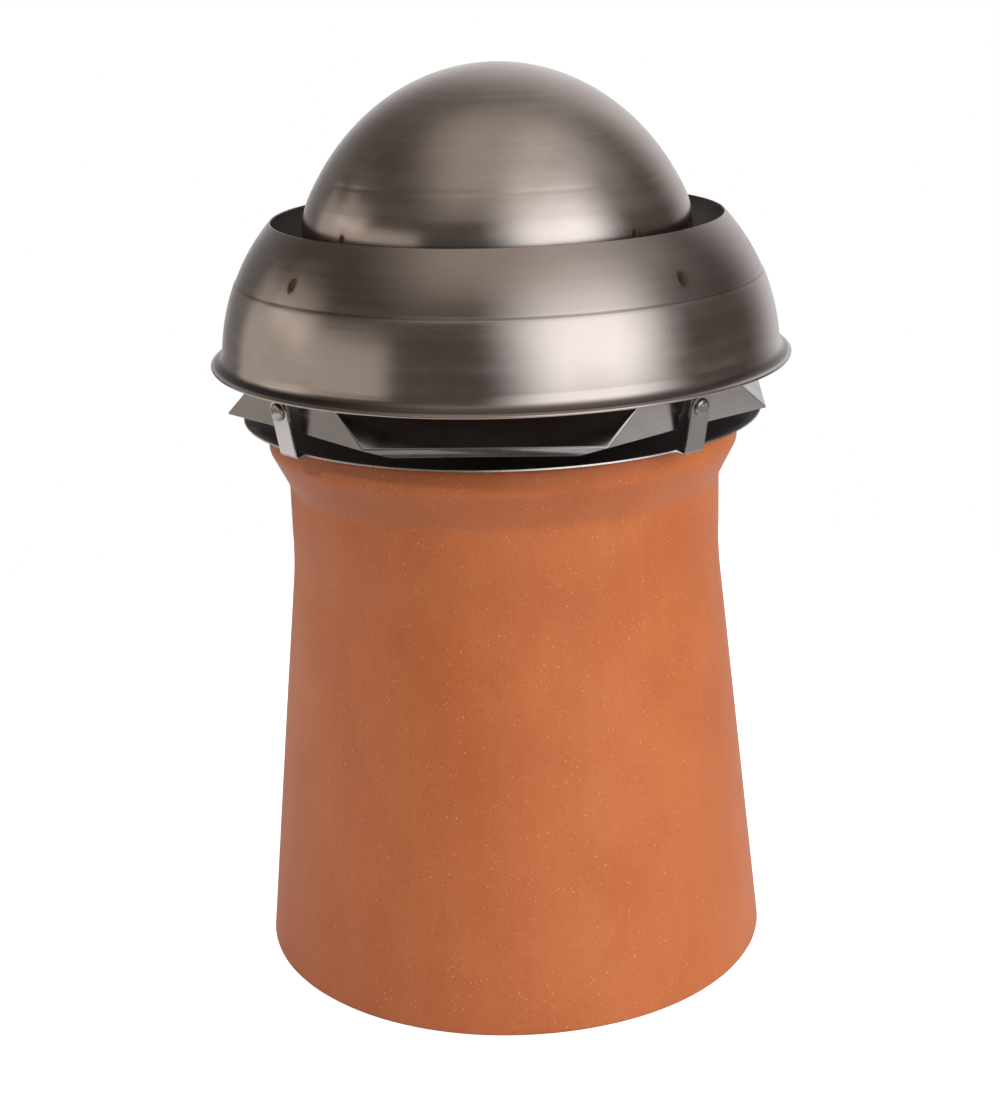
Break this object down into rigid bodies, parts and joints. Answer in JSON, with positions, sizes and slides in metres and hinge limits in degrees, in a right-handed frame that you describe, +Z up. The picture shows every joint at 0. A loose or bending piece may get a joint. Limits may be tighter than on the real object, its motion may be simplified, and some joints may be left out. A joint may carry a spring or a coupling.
{
  "type": "chimney cowl on a chimney pot",
  "caption": "Domed spun-steel chimney cowl with a wide wind ring over a louvred body and base dish, seated on the mouth of a flared round terracotta chimney pot.",
  "frame": {"origin": "centre of the pot's flat underside", "axes": "+Z up along the pot's and the cowl's common axis; -Y towards the viewer of the picture; the cowl is turned 4 degrees clockwise, seen from above, against X and Y"},
  "size_m": [0.3844, 0.3844, 0.6026],
  "materials": {
    "terracotta": "satin fired clay, fine cream and dark grog specks, faint drag streaks",
    "spun_steel": "spun stainless steel with faint turning rings, warm brown cast and small heat-tinted weld spots",
    "folded_steel": "folded stainless sheet with bright cut edges",
    "rivet_steel": "plain bright steel"
  },
  "bodies": {
    "root": {"pot": "terracotta", "base_dish": "folded_steel", "louvre_body": "folded_steel", "leg_1": "folded_steel", "leg_2": "folded_steel", "leg_3": "folded_steel", "leg_4": "folded_steel", "rivet_1": "rivet_steel", "rivet_2": "rivet_steel", "rivet_3": "rivet_steel", "rivet_4": "rivet_steel", "wind_ring": "spun_steel", "dome": "spun_steel"}
  },
  "joints": []
}
